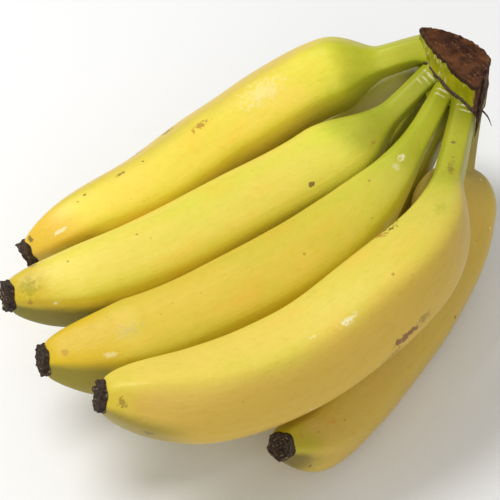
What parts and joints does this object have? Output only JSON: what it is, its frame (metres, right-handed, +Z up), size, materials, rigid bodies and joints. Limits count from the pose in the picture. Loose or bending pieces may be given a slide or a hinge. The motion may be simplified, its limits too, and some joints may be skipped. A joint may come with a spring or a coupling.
{
  "type": "hand of bananas",
  "caption": "Hand of ripe bananas with green necks joined at one crown, lying on its lower row with the tips and crown raised.",
  "frame": {"origin": "middle of the hand's footprint, on the surface it lies on", "axes": "+X from the tips to the crown, the longest way; +Z up; -Y towards the near side of the picture"},
  "size_m": [0.1996, 0.1414, 0.0821],
  "materials": {
    "peel": "satin",
    "green_crown": "satin",
    "dried_cut": "dry",
    "dried_end": "dry"
  },
  "bodies": {
    "root": {"banana_upper_1": "peel", "banana_upper_2": "peel", "banana_upper_3": "peel", "banana_upper_4": "peel", "banana_lower_1": "peel", "banana_lower_2": "peel", "banana_lower_3": "peel", "crown": "green_crown", "crown_cut_face": "dried_cut", "flower_end_upper_1": "dried_end", "flower_end_upper_2": "dried_end", "flower_end_upper_3": "dried_end", "flower_end_upper_4": "dried_end", "flower_end_lower_1": "dried_end", "flower_end_lower_2": "dried_end", "flower_end_lower_3": "dried_end"}
  },
  "joints": []
}
